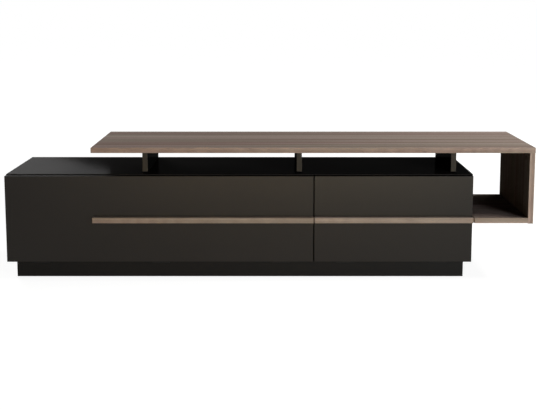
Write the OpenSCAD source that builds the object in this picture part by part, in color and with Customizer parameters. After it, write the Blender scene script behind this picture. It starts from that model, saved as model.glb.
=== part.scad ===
// Low media cabinet: a dark body on a recessed plinth, closed by two drop-down flaps,
// under a raised walnut shelf that ends in an open cubby past the body's right side.
// +X runs to the right, the flaps face -Y, +Z is up, and the origin lies on the floor
// in the middle of the footprint. All lengths are in millimetres.

/* [Body] */
// Width of the closed body, without the cubby
cabinet_w = 1600; // [1400:5:1900]
// Depth from the shelf's front edge to the back
depth = 350; // [340:1:450]
// Height of the closed body above the plinth
body_h = 306; // [270:1:400]
// Thickness of the dark boards
board_t = 18; // [16:0.5:22]
// Chamfer along the boards' edges
edge = 0.6; // [0.3:0.1:1]

/* [Back panels] */
// Thickness of the back panels
back_t = 3; // [2.5:0.1:5]
// Distance from the back edge of the body to the back panels
back_inset = 10; // [6:0.5:20]
// Depth of the grooves that hold the back panels
groove_depth = 6; // [4:0.5:7]
// Diameter of the cable holes in the back panels
cable_hole_d = 60; // [40:1:80]

/* [Plinth] */
// Height of the plinth
plinth_h = 60; // [50:1:120]
// Thickness of the plinth boards
plinth_t = 18; // [16:0.5:22]
// How far the plinth stands behind the front of the body
plinth_front_inset = 15; // [8:1:40]
// How far the plinth stands in front of the body's back
plinth_back_inset = 20; // [14:1:60]
// How far the plinth stands in from either end of the body
plinth_end_inset = 23; // [10:1:60]
// Number of cross braces in the plinth
brace_count = 2; // [1:1:4]

/* [Flaps] */
// Thickness of the flaps
door_t = 18; // [16:0.5:22]
// Width of the left flap
left_door_w = 1053; // [800:1:1100]
// Gap between the flaps, and round them at the top, the bottom and the right end
reveal = 3; // [2:0.5:5]
// Gap between a closed flap's back and the body
door_gap = 2; // [1.9:0.1:3]
// How far the walnut rails stand in front of the flaps
rail_t = 18; // [14:0.5:24]
// Height of the walnut rails
rail_h = 18; // [12:0.5:30]
// Angle at which the stays stop the flaps
open_angle = 90; // [75:1:90]

/* [Shelf and cubby] */
// Thickness of the shelf
shelf_t = 18; // [16:0.5:25]
// Distance from the body's left end to the shelf's left end
shelf_start = 300; // [200:5:400]
// How far the shelf reaches past the body's right end
overhang = 200; // [150:1:300]
// Thickness of the cubby's side and bottom
cubby_t = 18; // [16:0.5:22]
// How far the cubby's side stands inside the shelf's end
side_setback = 1; // [0.5:0.1:3]
// How far the cubby's side reaches below the cubby's bottom
side_drop = 1.5; // [0:0.1:4]

/* [Spacers] */
// Height of the spacers that carry the shelf
spacer_h = 80; // [65:1:160]
// Thickness of the spacers
spacer_t = 18; // [16:0.5:22]
// How far the spacers stand behind the front of the body
spacer_setback = 40; // [20:1:80]
// Distance from the shelf's left end to the middle of the left spacer
left_spacer_inset = 170.5; // [40:0.5:400]
// Distance from the body's right end to the middle of the right spacer
right_spacer_inset = 58.5; // [40:0.5:300]

/* [Board fittings] */
// Diameter of the dowels
dowel_d = 8; // [6:0.5:10]
// Length of the dowels, a third of it in the board that is drilled in its face
dowel_l = 30; // [24:1:36]
// Diameter of the cam locks
cam_d = 15; // [12:0.5:16]
// Depth of the cam locks
cam_depth = 12.5; // [11:0.1:13]
// Distance from a board's end to its cam locks' axis
cam_reach = 24; // [20:0.5:30]
// Diameter of the cam bolts' shanks
cam_bolt_d = 6; // [5:0.1:6.5]
// Diameter of the long board screws
board_screw_d = 7; // [5:0.1:7]
// How far the long board screws reach into the second board
board_screw_grip = 32; // [24:1:40]
// Distance from a board's front edge to its first fitting
fit_front = 40; // [30:1:60]
// Distance from a board's back edge to its last fitting
fit_back = 60; // [50:1:80]
// Distance from a cam bolt to the dowel beside it
fit_step = 32; // [24:1:40]

/* [Small screws] */
// Diameter of the small countersunk screws
small_d = 3; // [2.5:0.1:3.2]
// Length of the small screws
small_l = 13; // [10:0.5:14]
// Length of the screws that hold the rails from behind the flaps
rail_screw_l = 30; // [24:1:34]

/* [Hinges] */
// Length of a flap hinge
hinge_l = 60; // [50:1:90]
// Thickness of the hinge leaves
leaf_t = 0.8; // [0.5:0.05:0.85]
// Radius of the hinge knuckles
knuckle_r = 2.6; // [2.2:0.1:3]
// Radius of the hinge pins
pin_r = 1; // [0.8:0.05:1.3]
// Distance from a flap's end to the middle of its outer hinges
hinge_inset = 110; // [60:1:160]

/* [Flap stays] */
// Distance from the hinge axis to both pivots of a stay
stay_radius = 150; // [110:1:155]
// Angle between the two pivots of a stay, seen from the hinge axis
stay_spread = 30; // [24:1:36]
// Distance from the hinge axis back to the stay's pivot on the flap
stay_offset = 13; // [12:0.5:18]
// Diameter of the stay rods
rod_d = 8; // [6:0.5:8]
// Diameter of the swivelling rod guides
guide_d = 24; // [20:0.5:28]
// Radius of the stays' pivot studs
stud_r = 3; // [2.5:0.1:3.5]

/* [Catches] */
// Width of the magnetic catches
catch_w = 50; // [40:1:60]
// Depth of the magnetic catches
catch_d = 16; // [12:0.5:24]
// Height of the magnetic catches
catch_h = 14; // [12:0.5:20]
// Thickness of the strike plates
strike_t = 1.2; // [0.8:0.1:1.4]
// Diameter of the soft buffers on the flaps
buffer_d = 6; // [5:0.5:7]

/* [Hidden] */

$fn = 48;
eps = 0.01;

// Clearances
fixed_clear = 0.05;
running_clear = 0.05;
gap = 0.3;

// Colours
dark = [0.17, 0.16, 0.15];
dark_edge = [0.12, 0.12, 0.12];
walnut = [0.55, 0.45, 0.38];
steel = [0.75, 0.75, 0.76];
beech = [0.80, 0.68, 0.50];
clear_plastic = [0.80, 0.80, 0.80];

// Places along X
total_w = cabinet_w + overhang;
left_x = -total_w / 2;
right_x = left_x + cabinet_w;
shelf_x0 = left_x + shelf_start;
shelf_x1 = right_x + overhang;
cubby_x1 = shelf_x1 - side_setback;
cubby_x0 = cubby_x1 - cubby_t;
left_door_x1 = left_x + left_door_w;
right_door_x0 = left_door_x1 + reveal;
right_door_x1 = right_x - reveal;
partition_x = left_door_x1 + reveal / 2;
upright_x = [left_x + board_t / 2, partition_x, right_x - board_t / 2];
left_spacer_x = shelf_x0 + left_spacer_inset;
right_spacer_x = right_x - right_spacer_inset;
spacer_x = [left_spacer_x, (left_spacer_x + right_spacer_x) / 2, right_spacer_x];

// Places along Y
front_y = -depth / 2;
back_y = depth / 2;
door_front_y = front_y + rail_t;
door_back_y = door_front_y + door_t;
body_front_y = door_back_y + door_gap;
back_panel_y1 = back_y - back_inset;
back_panel_y0 = back_panel_y1 - back_t;
spacer_y0 = body_front_y + spacer_setback;
plinth_y0 = body_front_y + plinth_front_inset;
plinth_y1 = back_y - plinth_back_inset;

// Places along Z
bottom_z1 = plinth_h + board_t;
body_top = plinth_h + body_h;
top_z0 = body_top - board_t;
shelf_z0 = body_top + spacer_h;
shelf_z1 = shelf_z0 + shelf_t;
door_z0 = plinth_h + reveal;
door_z1 = body_top - reveal;
rail_z0 = (door_z0 + door_z1 - rail_h) / 2;
rail_z = rail_z0 + rail_h / 2;
cubby_z0 = rail_z - cubby_t / 2;
cubby_z1 = cubby_z0 + cubby_t;

// Knock-down fittings. A place is [point on the joint, turns]: turned, +Z runs into the
// board that is drilled in its end, and +X faces the side from which its cam is set.
UP = [0, 0, 0];
UP_LEFT = [0, 0, 180];
DOWN = [180, 0, 0];
DOWN_LEFT = [0, 180, 0];
TO_RIGHT = [0, 90, 0];
TO_LEFT_UNDER = [180, 90, 0];
TO_BACK = [-90, 0, 0];
TO_FRONT = [90, 0, 0];

function ys_from(y0, y1, step) = [y0 + fit_front + step, y1 - fit_back - step];
function places(x, ys, z, turns) = [for (y = ys) [[x, y, z], turns]];

body_bolt_ys = ys_from(body_front_y, back_y, 0);
body_dowel_ys = ys_from(body_front_y, back_y, fit_step);
cubby_bolt_ys = ys_from(front_y, back_y, 0);
cubby_dowel_ys = ys_from(front_y, back_y, fit_step);
spacer_ys = ys_from(spacer_y0, back_y, 0);
spacer_mid_ys = [(spacer_ys[0] + spacer_ys[1]) / 2];
wall_shift = 14;
wall_screw_ys = ys_from(body_front_y, back_y, wall_shift);
wall_dowel_ys = ys_from(body_front_y, back_y, wall_shift + fit_step);

left_cams = concat(
    places(upright_x[0], body_bolt_ys, bottom_z1, UP),
    places(upright_x[0], body_bolt_ys, top_z0, DOWN)
);
partition_cams = concat(
    places(upright_x[1], body_bolt_ys, bottom_z1, UP),
    places(upright_x[1], body_bolt_ys, top_z0, DOWN)
);
right_cams = concat(
    places(upright_x[2], body_bolt_ys, bottom_z1, UP_LEFT),
    places(upright_x[2], body_bolt_ys, top_z0, DOWN_LEFT)
);
body_cams = concat(left_cams, partition_cams, right_cams);
body_dowels = [
    for (x = upright_x)
        each concat(
            places(x, body_dowel_ys, bottom_z1, UP),
            places(x, body_dowel_ys, top_z0, DOWN)
        )
];
spacer_cams = [
    for (i = [0:2])
        each places(spacer_x[i], spacer_mid_ys, shelf_z0, i == 0 ? DOWN_LEFT : DOWN)
];
spacer_dowels = [for (x = spacer_x) each places(x, spacer_ys, shelf_z0, DOWN)];
spacer_screw_places = [for (x = spacer_x) each places(x, spacer_ys, body_top, UP)];
cubby_x_mid = (cubby_x0 + cubby_x1) / 2;
cubby_z_mid = (cubby_z0 + cubby_z1) / 2;
side_cams = places(cubby_x_mid, cubby_bolt_ys, shelf_z0, DOWN_LEFT);
side_dowels = places(cubby_x_mid, cubby_dowel_ys, shelf_z0, DOWN);
bottom_cams = places(cubby_x0, cubby_bolt_ys, cubby_z_mid, TO_LEFT_UNDER);
bottom_dowels = places(cubby_x0, cubby_dowel_ys, cubby_z_mid, TO_LEFT_UNDER);
wall_screws = places(right_x, wall_screw_ys, cubby_z_mid, TO_RIGHT);
wall_dowels = places(right_x, wall_dowel_ys, cubby_z_mid, TO_RIGHT);

// Plinth layout
plinth_x0 = left_x + plinth_end_inset;
plinth_x1 = right_x - plinth_end_inset;
plinth_bay = (plinth_x1 - plinth_x0 - plinth_t) / (brace_count + 1);
brace_x = [for (i = [1:brace_count]) plinth_x0 + plinth_t / 2 + i * plinth_bay];
plinth_cross_x = concat([plinth_x0 + plinth_t / 2], brace_x, [plinth_x1 - plinth_t / 2]);
plinth_in_y0 = plinth_y0 + plinth_t;
plinth_in_y1 = plinth_y1 - plinth_t;
plinth_dowel_zs = [plinth_h * 0.3, plinth_h * 0.7];
plinth_dowels = [
    for (x = plinth_cross_x, z = plinth_dowel_zs)
        each [[[x, plinth_in_y0, z], TO_BACK], [[x, plinth_in_y1, z], TO_FRONT]]
];
plinth_screw_count = 5;
plinth_screw_inset = 80;
plinth_screw_step = (plinth_x1 - plinth_x0 - 2 * plinth_screw_inset) / (plinth_screw_count - 1);
plinth_screw_places = [
    for (i = [0:plinth_screw_count - 1], y = [plinth_y0 + plinth_t / 2, plinth_y1 - plinth_t / 2])
        [[plinth_x0 + plinth_screw_inset + i * plinth_screw_step, y, plinth_h], DOWN]
];

// Board fitting details
dowel_in_face = dowel_l / 3;
dowel_spare = 1;
cam_pocket = cam_depth + 0.3;
cam_slot_depth = 1.5;
cam_bolt_thread = 11;
cam_thread_d = cam_bolt_d - 1;
cam_bolt_neck = 6;
cam_head_l = 2;
cam_head_r = cam_bolt_d / 2 + 0.4;
cam_neck_r = cam_bolt_d / 2 - 1;
cover_r = cam_d / 2 + 1.5;
cover_t = 0.6;
screw_head_r = board_screw_d / 2 + 1.5;
screw_head_h = 3;
screw_sink = 0.3;
socket_depth = 3;
screw_core_r = board_screw_d / 2 - 1;
socket_r = board_screw_d / 2 - 1.2;

// Small screws: origin in the middle of the head's face, +Z into the material
small_head_r = small_d;
small_head_h = small_d / 2;
slot_w = 0.7;
slot_l = small_d;
slot_depth = 0.9;

// Hinges: the pin axis lies under the body's front edge, in the middle of the gap
axis_y = body_front_y - door_gap / 2;
knuckle_gap = 0.4;
axis_z = plinth_h - knuckle_r - knuckle_gap;
leaf_top = plinth_h + board_t - 1;
knuckle_count = 5;
knuckle_l = hinge_l / knuckle_count;
pin_clear = 0.02;
pin_head_r = pin_r + 0.7;
pin_head_l = 0.8;
hinge_screw_x = hinge_l / 2 - 10;
hinge_screw_z = plinth_h + board_t / 2;
left_door_mid = (left_x + left_door_x1) / 2;
left_hinge_x = [left_x + hinge_inset, left_door_mid, left_door_x1 - hinge_inset];
right_hinge_x = [right_door_x0 + hinge_inset, right_door_x1 - hinge_inset];

// Flap stays, seen from the hinge axis: both pivots lie on one circle round it, so the rod
// turns through half the flap's angle and keeps passing over the guide's pivot
plate_t = 2;
flap_pivot_angle = acos(stay_offset / stay_radius);
guide_pivot_angle = flap_pivot_angle - stay_spread;
flap_pivot = stay_radius * [cos(flap_pivot_angle), sin(flap_pivot_angle)];
guide_pivot = stay_radius * [cos(guide_pivot_angle), sin(guide_pivot_angle)];
rod_slope = (flap_pivot_angle + guide_pivot_angle) / 2 - 90;
open_span = 2 * stay_radius * sin((stay_spread + open_angle) / 2);
stop_l = 6;
stop_start = open_span + guide_d / 2 + gap;
rod_l = stop_start + stop_l;
stop_r = rod_d / 2 + 3;
flange_t = 3;
stud_head_r = stud_r + 2;
stud_head_t = 2;
guide_x0 = plate_t + gap;
flange_x1 = guide_x0 + flange_t;
guide_pocket_x1 = flange_x1 + stud_head_t + 3 * gap;
guide_web = 1.8;
guide_cap = 3.5;
brake_h = 3;
brake_r = guide_d / 4;
rod_x = guide_pocket_x1 + guide_web + rod_d / 2;
guide_x1 = rod_x + rod_d / 2 + guide_cap;
eye_t = 5;
eye_r = stud_r + 5;
eye_neck = 6;
rod_start = eye_r + 2;
ear_t = 3;
ear_x1 = rod_x - eye_t / 2 - gap;
stay_screw_step = 20;
stay_plate_l = 60;
stay_plate_w = 24;
bracket_w = 20;
bracket_l = 36;
bracket_screw_step = 13;
bracket_screw_x = ear_x1 + (plate_t + bracket_w - ear_x1) / 2;

// Each stay: [face of the upright that carries it, direction that this face looks in]
left_outer_stay = [left_x + board_t, 1];
left_inner_stay = [partition_x - board_t / 2, -1];
right_stay = [right_x - board_t, -1];
stays = [left_outer_stay, left_inner_stay, right_stay];

// Catches hang under the top panel, with their poles just short of the strike plates
left_catch_x = [left_door_mid - left_door_w / 4, left_door_mid + left_door_w / 4];
right_catch_x = [(right_door_x0 + right_door_x1) / 2];
pole_proud = 0.2;
catch_y0 = door_back_y + strike_t + gap + pole_proud;
catch_z0 = top_z0 - catch_h;
catch_z = top_z0 - catch_h / 2;
pole_t = 1.5;
pole_inset = 12;
pole_h = 8;
magnet_sink = 0.5;
catch_screw_x = catch_w / 2 - 5;
catch_screw_y = catch_y0 + catch_d * 0.6;
catch_head_room = 0.5;
strike_w = catch_w - 4;
strike_h = 12;
strike_screw_x = 8;
buffer_t = door_gap - gap;
buffer_drop = 60;
buffer_z = top_z0 - buffer_drop;
left_buffer_x = [left_x + board_t / 2, partition_x - board_t / 4 - reveal / 4];
right_buffer_x = [partition_x + board_t / 4 + reveal / 4, right_x - board_t / 2];

// Rails
left_rail_x0 = shelf_x0;
rail_screw_inset = 70;
rail_screw_pitch = 220;
function rail_screw_xs(x0, x1) =
    let (n = max(1, round((x1 - x0 - 2 * rail_screw_inset) / rail_screw_pitch)))
    [for (i = [0:n]) x0 + rail_screw_inset + i * (x1 - x0 - 2 * rail_screw_inset) / n];
left_rail_screw_x = rail_screw_xs(left_rail_x0, left_door_x1);
right_rail_screw_x = rail_screw_xs(right_door_x0, right_door_x1);

// Helpers

module chamfered(w, h) {
    polygon([
        [edge, 0], [w - edge, 0], [w, edge], [w, h - edge],
        [w - edge, h], [edge, h], [0, h - edge], [0, edge]
    ]);
}

// Board between two corners, with every edge chamfered
module board(lo, hi) {
    s = hi - lo;
    translate(lo)
        intersection() {
            linear_extrude(s.z) chamfered(s.x, s.y);
            translate([0, s.y, 0]) rotate([90, 0, 0]) linear_extrude(s.y) chamfered(s.x, s.z);
            rotate([90, 0, 90]) linear_extrude(s.x) chamfered(s.y, s.z);
        }
}

module block(lo, hi) {
    translate(lo) cube(hi - lo);
}

module rod_along_x(x0, x1, r) {
    translate([x0, 0, 0]) rotate([0, 90, 0]) cylinder(h = x1 - x0, r = r);
}

module set_at(list) {
    for (p = list)
        translate(p[0]) rotate(p[1]) children();
}

// Board fittings and their holes

module dowel() {
    translate([0, 0, -dowel_in_face]) cylinder(h = dowel_l, d = dowel_d);
}

module dowel_hole() {
    translate([0, 0, -dowel_in_face - dowel_spare])
        cylinder(h = dowel_l + 2 * dowel_spare, d = dowel_d + 2 * fixed_clear);
}

// The cam's hollow lets the bolt's head in from the side
module cam_lock(t) {
    difference() {
        translate([t / 2 - cam_depth, 0, cam_reach]) rod_along_x(0, cam_depth, cam_d / 2);
        cylinder(h = cam_reach + cam_head_r + gap, r = cam_head_r + fixed_clear);
        translate([t / 2 - cam_slot_depth, 0, cam_reach])
            for (turn = [0, 90])
                rotate([turn, 0, 0])
                    translate([0, -slot_w, -cam_d / 3])
                        cube([cam_slot_depth + 1, 2 * slot_w, cam_d * 2 / 3]);
    }
}

module cam_holes(t) {
    translate([0, 0, -eps]) cylinder(h = cam_reach, r = cam_head_r + fixed_clear);
    translate([t / 2 - cam_pocket, 0, cam_reach])
        rod_along_x(0, cam_pocket + 1, cam_d / 2 + fixed_clear);
}

module cam_bolt() {
    translate([0, 0, -cam_bolt_thread]) cylinder(h = cam_bolt_thread + eps, d = cam_thread_d);
    cylinder(h = cam_reach - cam_bolt_neck, d = cam_bolt_d);
    cylinder(h = cam_reach, r = cam_neck_r);
    translate([0, 0, cam_reach - cam_head_l]) cylinder(h = cam_head_l + cam_head_r, r = cam_head_r);
}

module cam_bolt_hole() {
    translate([0, 0, -cam_bolt_thread - 1])
        cylinder(h = cam_bolt_thread + 1 + eps, d = cam_thread_d + 2 * fixed_clear);
}

module cam_cover(t) {
    translate([t / 2, 0, cam_reach]) rod_along_x(0, cover_t, cover_r);
}

// Long screw through a board of thickness t into the end of the next one
module board_screw(t) {
    difference() {
        union() {
            translate([0, 0, screw_sink - t]) cylinder(h = screw_head_h, r = screw_head_r);
            translate([0, 0, screw_sink - t]) cylinder(h = t - screw_sink, d = board_screw_d);
            translate([0, 0, -eps]) cylinder(h = board_screw_grip, r = screw_core_r);
        }
        translate([0, 0, screw_sink - t - eps]) cylinder(h = socket_depth, r = socket_r, $fn = 6);
    }
}

module board_screw_hole(t) {
    translate([0, 0, -t - 1])
        cylinder(h = 1 + screw_sink + screw_head_h + gap, r = screw_head_r + fixed_clear);
    translate([0, 0, -t]) cylinder(h = t + eps, r = board_screw_d / 2 + fixed_clear);
    cylinder(h = board_screw_grip + 1, r = screw_core_r + fixed_clear);
}

module small_screw(l) {
    difference() {
        union() {
            cylinder(h = small_head_h, r1 = small_head_r, r2 = small_d / 2);
            translate([0, 0, small_head_h - eps]) cylinder(h = l - small_head_h, d = small_d);
        }
        translate([-slot_w / 2, -slot_l / 2, -eps]) cube([slot_w, slot_l, slot_depth]);
        translate([-slot_l / 2, -slot_w / 2, -eps]) cube([slot_l, slot_w, slot_depth]);
    }
}

module small_screw_hole(l) {
    c = fixed_clear;
    cylinder(h = small_head_h, r1 = small_head_r + c, r2 = small_d / 2 + c);
    translate([0, 0, -1]) cylinder(h = 1 + eps, r = small_head_r + c);
    cylinder(h = l + 1, r = small_d / 2 + c);
}

// Places of the small screws
body_leaf_y = body_front_y - leaf_t;
door_leaf_y = door_back_y + leaf_t;
body_hinge_screws = [
    for (x = concat(left_hinge_x, right_hinge_x), side = [-1, 1])
        [[x + side * hinge_screw_x, body_leaf_y, hinge_screw_z], TO_BACK]
];
left_hinge_screws = [
    for (x = left_hinge_x, side = [-1, 1])
        [[x + side * hinge_screw_x, door_leaf_y, hinge_screw_z], TO_FRONT]
];
right_hinge_screws = [
    for (x = right_hinge_x, side = [-1, 1])
        [[x + side * hinge_screw_x, door_leaf_y, hinge_screw_z], TO_FRONT]
];
catch_screws = [
    for (x = concat(left_catch_x, right_catch_x), side = [-1, 1])
        [[x + side * catch_screw_x, catch_screw_y, catch_z0 + catch_h / 2], UP]
];
left_strike_screws = [
    for (x = left_catch_x, side = [-1, 1])
        [[x + side * strike_screw_x, door_back_y + strike_t, catch_z], TO_FRONT]
];
right_strike_screws = [
    for (x = right_catch_x, side = [-1, 1])
        [[x + side * strike_screw_x, door_back_y + strike_t, catch_z], TO_FRONT]
];
left_rail_screw_places = [for (x = left_rail_screw_x) [[x, door_back_y, rail_z], TO_FRONT]];
right_rail_screw_places = [for (x = right_rail_screw_x) [[x, door_back_y, rail_z], TO_FRONT]];

// Puts a stay's parts, drawn from its upright's face and the hinge axis, where they belong
module at_stay(stay) {
    translate([stay[0], axis_y, axis_z])
        mirror([stay[1] < 0 ? 1 : 0, 0, 0])
            children();
}

module stay_plate_screws_at() {
    for (side = [-1, 1])
        translate([plate_t, guide_pivot.x, guide_pivot.y + side * stay_screw_step])
            rotate([0, -90, 0])
                children();
}

module bracket_screws_at() {
    for (side = [-1, 1])
        translate([bracket_screw_x, plate_t - door_gap / 2, flap_pivot.y + side * bracket_screw_step])
            rotate(TO_FRONT)
                children();
}

// Body

module top_panel() {
    color(dark)
        difference() {
            board([left_x, body_front_y, top_z0], [right_x, back_y, body_top]);
            back_groove(left_x + board_t - groove_depth, right_x - board_t + groove_depth, top_z0);
            set_at(body_cams) cam_bolt_hole();
            set_at(body_dowels) dowel_hole();
            set_at(spacer_screw_places) board_screw_hole(board_t);
            set_at(catch_screws) small_screw_hole(small_l);
        }
}

// Groove along X for both back panels, half above and half below height z
module back_groove(x0, x1, z) {
    block(
        [x0, back_panel_y0 - gap, z - groove_depth],
        [x1, back_panel_y1 + gap, z + groove_depth]
    );
}

module bottom_panel() {
    color(dark)
        difference() {
            board([left_x, body_front_y, plinth_h], [right_x, back_y, bottom_z1]);
            back_groove(left_x + board_t - groove_depth, right_x - board_t + groove_depth, bottom_z1);
            set_at(body_cams) cam_bolt_hole();
            set_at(body_dowels) dowel_hole();
            set_at(plinth_screw_places) board_screw_hole(board_t);
            set_at(body_hinge_screws) small_screw_hole(small_l);
        }
}

// Upright board with grooves on the faces whose X is in groove_faces
module upright(x, cams, groove_faces) {
    difference() {
        board([x - board_t / 2, body_front_y, bottom_z1], [x + board_t / 2, back_y, top_z0]);
        for (face = groove_faces)
            block(
                [face - groove_depth, back_panel_y0 - gap, bottom_z1 - 1],
                [face + groove_depth, back_panel_y1 + gap, top_z0 + 1]
            );
        set_at(cams) cam_holes(board_t);
        set_at(body_dowels) dowel_hole();
        for (stay = stays)
            at_stay(stay) stay_plate_screws_at() small_screw_hole(small_l);
    }
}

module left_side() {
    color(dark) upright(upright_x[0], left_cams, [left_x + board_t]);
}

module partition() {
    color(dark)
        upright(partition_x, partition_cams, [partition_x - board_t / 2, partition_x + board_t / 2]);
}

module right_side() {
    color(dark)
        difference() {
            upright(upright_x[2], right_cams, [right_x - board_t]);
            set_at(wall_screws) board_screw_hole(board_t);
            set_at(wall_dowels) dowel_hole();
        }
}

// Back panel between two uprights' faces, let into their grooves
module back_panel(x0, x1) {
    reach = groove_depth - gap;
    color(dark_edge)
        difference() {
            block(
                [x0 - reach, back_panel_y0, bottom_z1 - reach],
                [x1 + reach, back_panel_y1, top_z0 + reach]
            );
            translate([(x0 + x1) / 2, back_panel_y0 - 1, (bottom_z1 + top_z0) / 2])
                rotate(TO_BACK)
                    cylinder(h = back_t + 2, d = cable_hole_d);
        }
}

module left_back_panel() {
    back_panel(left_x + board_t, partition_x - board_t / 2);
}

module right_back_panel() {
    back_panel(partition_x + board_t / 2, right_x - board_t);
}

// Plinth

module plinth_long_board(y0) {
    color(dark_edge)
        difference() {
            board([plinth_x0, y0, 0], [plinth_x1, y0 + plinth_t, plinth_h]);
            set_at(plinth_dowels) dowel_hole();
            set_at(plinth_screw_places) board_screw_hole(board_t);
        }
}

module plinth_cross_board(x) {
    color(dark_edge)
        difference() {
            board([x - plinth_t / 2, plinth_in_y0, 0], [x + plinth_t / 2, plinth_in_y1, plinth_h]);
            set_at(plinth_dowels) dowel_hole();
        }
}

module plinth_front() {
    plinth_long_board(plinth_y0);
}

module plinth_back() {
    plinth_long_board(plinth_in_y1);
}

module plinth_left() {
    plinth_cross_board(plinth_x0 + plinth_t / 2);
}

module plinth_right() {
    plinth_cross_board(plinth_x1 - plinth_t / 2);
}

module plinth_braces() {
    for (x = brace_x)
        plinth_cross_board(x);
}

// Shelf, spacers and cubby

module shelf_board() {
    color(walnut)
        difference() {
            board([shelf_x0, front_y, shelf_z0], [shelf_x1, back_y, shelf_z1]);
            set_at(concat(spacer_cams, side_cams)) cam_bolt_hole();
            set_at(concat(spacer_dowels, side_dowels)) dowel_hole();
        }
}

module cubby_side() {
    color(walnut)
        difference() {
            board([cubby_x0, front_y, cubby_z0 - side_drop], [cubby_x1, back_y, shelf_z0]);
            set_at(side_cams) cam_holes(cubby_t);
            set_at(bottom_cams) cam_bolt_hole();
            set_at(concat(side_dowels, bottom_dowels)) dowel_hole();
        }
}

module cubby_bottom() {
    color(walnut)
        difference() {
            board([right_x, front_y, cubby_z0], [cubby_x0, back_y, cubby_z1]);
            set_at(bottom_cams) cam_holes(cubby_t);
            set_at(concat(bottom_dowels, wall_dowels)) dowel_hole();
            set_at(wall_screws) board_screw_hole(board_t);
        }
}

module spacer(i) {
    x = spacer_x[i];
    color(dark)
        difference() {
            board([x - spacer_t / 2, spacer_y0, body_top], [x + spacer_t / 2, back_y, shelf_z0]);
            set_at(spacer_cams) cam_holes(spacer_t);
            set_at(spacer_dowels) dowel_hole();
            set_at(spacer_screw_places) board_screw_hole(board_t);
        }
}

module left_spacer() {
    spacer(0);
}

module middle_spacer() {
    spacer(1);
}

module right_spacer() {
    spacer(2);
}

// Fasteners

module dowels() {
    color(beech)
        set_at(concat(
            body_dowels, spacer_dowels, side_dowels, bottom_dowels, wall_dowels, plinth_dowels
        ))
            dowel();
}

module cam_locks() {
    color(steel) {
        set_at(body_cams) cam_lock(board_t);
        set_at(spacer_cams) cam_lock(spacer_t);
        set_at(concat(side_cams, bottom_cams)) cam_lock(cubby_t);
    }
}

module cam_bolts() {
    color(steel)
        set_at(concat(body_cams, spacer_cams, side_cams, bottom_cams)) cam_bolt();
}

// Caps over the cams that would show in the cubby
module cam_covers() {
    color(walnut)
        set_at(side_cams) cam_cover(cubby_t);
}

module spacer_screws() {
    color(steel) set_at(spacer_screw_places) board_screw(board_t);
}

module cubby_screws() {
    color(steel) set_at(wall_screws) board_screw(board_t);
}

module plinth_screws() {
    color(steel) set_at(plinth_screw_places) board_screw(board_t);
}

module body_screws() {
    color(steel) {
        set_at(body_hinge_screws) small_screw(small_l);
        set_at(catch_screws) small_screw(small_l);
        for (stay = stays)
            at_stay(stay) stay_plate_screws_at() small_screw(small_l);
    }
}

// Hinges

// Leaf of a hinge at x, on the body (dir = 1) or on the flap (dir = -1): the body's leaf
// has the outer and the middle knuckles, and the flap's leaf has the other two
module hinge_leaf(x, dir) {
    wall_y = dir * door_gap / 2;
    y0 = min(wall_y, wall_y - dir * leaf_t);
    bore_r = pin_r + (dir > 0 ? pin_clear : running_clear);
    first = dir > 0 ? 0 : 1;
    translate([x - hinge_l / 2, axis_y, axis_z])
        difference() {
            union() {
                block([0, y0, knuckle_r + gap], [hinge_l, y0 + leaf_t, leaf_top - axis_z]);
                for (i = [first:2:knuckle_count - 1])
                    knuckle(i, y0);
            }
            rod_along_x(-1, hinge_l + 1, bore_r);
        }
}

module knuckle(i, y0) {
    x0 = i * knuckle_l + gap / 2;
    x1 = (i + 1) * knuckle_l - gap / 2;
    rod_along_x(x0, x1, knuckle_r);
    block([x0, y0, 0], [x1, y0 + leaf_t, knuckle_r + gap + eps]);
}

module hinge_body_leaves() {
    color(steel)
        difference() {
            for (x = concat(left_hinge_x, right_hinge_x))
                hinge_leaf(x, 1);
            set_at(body_hinge_screws) small_screw_hole(small_l);
        }
}

module hinge_pins() {
    color(steel)
        for (x = concat(left_hinge_x, right_hinge_x))
            translate([x, axis_y, axis_z]) {
                rod_along_x(-hinge_l / 2 - pin_head_l, hinge_l / 2 + pin_head_l, pin_r);
                for (end = [-hinge_l / 2 - pin_head_l, hinge_l / 2])
                    rod_along_x(end, end + pin_head_l, pin_head_r);
            }
}

module left_hinge_leaves() {
    color(steel)
        difference() {
            for (x = left_hinge_x)
                hinge_leaf(x, -1);
            set_at(left_hinge_screws) small_screw_hole(small_l);
        }
}

module right_hinge_leaves() {
    color(steel)
        difference() {
            for (x = right_hinge_x)
                hinge_leaf(x, -1);
            set_at(right_hinge_screws) small_screw_hole(small_l);
        }
}

// Stays

// Plate on the upright with the stud that the guide swivels on
module stay_plates() {
    color(steel)
        for (stay = stays)
            at_stay(stay)
                difference() {
                    union() {
                        block(
                            [0, guide_pivot.x - stay_plate_w / 2, guide_pivot.y - stay_plate_l / 2],
                            [plate_t, guide_pivot.x + stay_plate_w / 2, guide_pivot.y + stay_plate_l / 2]
                        );
                        translate([0, guide_pivot.x, guide_pivot.y]) {
                            rod_along_x(1, flange_x1 + gap + eps, stud_r);
                            rod_along_x(flange_x1 + gap, flange_x1 + gap + stud_head_t, stud_head_r);
                        }
                    }
                    stay_plate_screws_at() small_screw_hole(small_l);
                }
}

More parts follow.
